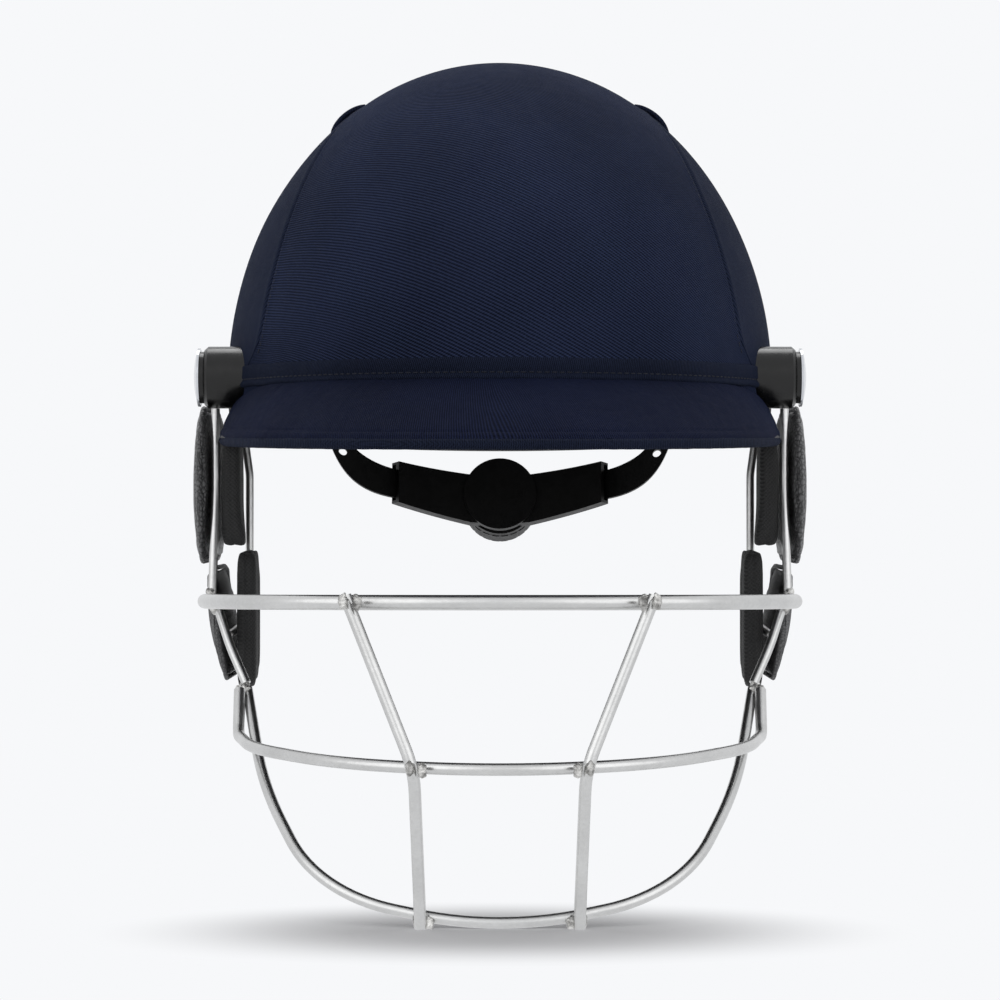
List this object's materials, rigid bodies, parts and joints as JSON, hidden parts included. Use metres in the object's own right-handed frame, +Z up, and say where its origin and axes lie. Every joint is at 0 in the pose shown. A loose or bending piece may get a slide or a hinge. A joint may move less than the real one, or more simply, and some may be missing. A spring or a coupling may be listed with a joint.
{
  "type": "cricket helmet",
  "caption": "Cloth-covered cricket helmet with a peak, a welded steel face guard, padded ear flaps and a dial size adjuster.",
  "frame": {"origin": "middle of the head space at the level of the front edge of the peak, where a head holds it", "axes": "+X to the right as seen from the front, -Y is the way the face looks, +Z up towards the crown"},
  "size_m": [0.2292, 0.3144, 0.3124],
  "materials": {
    "navy_cloth": "fine twill weave",
    "shell_plastic": "moulded",
    "liner_foam": "closed-cell foam skin",
    "lining_fabric": "brushed knit",
    "grained_leather": "pebble grain",
    "flap_fabric": "matt coated cloth",
    "pad_fabric": "ribbed knit",
    "guard_steel": "satin",
    "bright_chrome": "polished",
    "nut_steel": "zinc",
    "boss_plastic": "semi-gloss",
    "trim_rubber": "soft matt",
    "black_plastic": "moulded satin"
  },
  "bodies": {
    "helmet": {"brow_hem": "navy_cloth", "brow_pad": "lining_fabric", "chin_bar": "guard_steel", "crown_pad": "lining_fabric", "foam_liner": "liner_foam", "front_cloth_panel": "navy_cloth", "left_boss": "boss_plastic", "left_cap_screw": "bright_chrome", "left_cheek_pad": "pad_fabric", "left_cloth_panel": "navy_cloth", "left_cross_bar": "guard_steel", "left_ear_flap": "grained_leather", "left_ear_pad": "pad_fabric", "left_fit_pad": "lining_fabric", "left_front_upright": "guard_steel", "left_lower_flap": "flap_fabric", "left_rear_clip": "black_plastic", "left_rear_rod": "guard_steel", "left_side_rod": "guard_steel", "left_strip_hanger": "black_plastic", "left_tee_nut": "nut_steel", "left_vent_hood": "navy_cloth", "left_vent_insert": "trim_rubber", "middle_bar": "guard_steel", "nape_pad": "lining_fabric", "outer_shell": "shell_plastic", "peak_cloth_lower": "navy_cloth", "peak_cloth_upper": "navy_cloth", "peak_core": "shell_plastic", "peak_piping": "navy_cloth", "right_boss": "boss_plastic", "right_cap_screw": "bright_chrome", "right_cheek_pad": "pad_fabric", "right_cloth_panel": "navy_cloth", "right_cross_bar": "guard_steel", "right_ear_flap": "grained_leather", "right_ear_pad": "pad_fabric", "right_fit_pad": "lining_fabric", "right_front_upright": "guard_steel", "right_lower_flap": "flap_fabric", "right_rear_clip": "black_plastic", "right_rear_rod": "guard_steel", "right_side_rod": "guard_steel", "right_strip_hanger": "black_plastic", "right_tee_nut": "nut_steel", "right_vent_hood": "navy_cloth", "right_vent_insert": "trim_rubber", "rim_trim": "trim_rubber", "top_bar": "guard_steel"},
    "cradle": {"adjuster_housing": "black_plastic", "adjuster_cover": "black_plastic", "click_spring": "nut_steel"},
    "dial": {"size_dial": "black_plastic", "dial_pinion": "black_plastic"},
    "left_strip": {"left_size_strip": "black_plastic"},
    "right_strip": {"right_size_strip": "black_plastic"}
  },
  "joints": [
    {"name": "cradle_tilt", "type": "hinge", "parent": "helmet", "child": "cradle", "pos_m": [0, 0.00207, 0.03628], "axis": [1, 0, 0], "range_deg": [-12, 2.5]},
    {"name": "dial_turn", "type": "hinge", "parent": "cradle", "child": "dial", "pos_m": [0, 0.10393, -0.01491], "axis": [0, 0.9724, -0.2334], "range_deg": [-107, 107]},
    {"name": "left_strip_slide", "type": "hinge", "parent": "cradle", "child": "left_strip", "pos_m": [0, 0.02332, 0.00444], "axis": [0, 0.2334, 0.9724], "range_deg": [-4.2, 4.2]},
    {"name": "right_strip_slide", "type": "hinge", "parent": "cradle", "child": "right_strip", "pos_m": [0, 0.02332, 0.00444], "axis": [0, 0.2334, 0.9724], "range_deg": [-4.1, 4.1]}
  ],
  "couplings": [
    {"joint": "left_strip_slide", "follows": "dial_turn", "ratio": 0.039046},
    {"joint": "right_strip_slide", "follows": "dial_turn", "ratio": -0.038161}
  ]
}
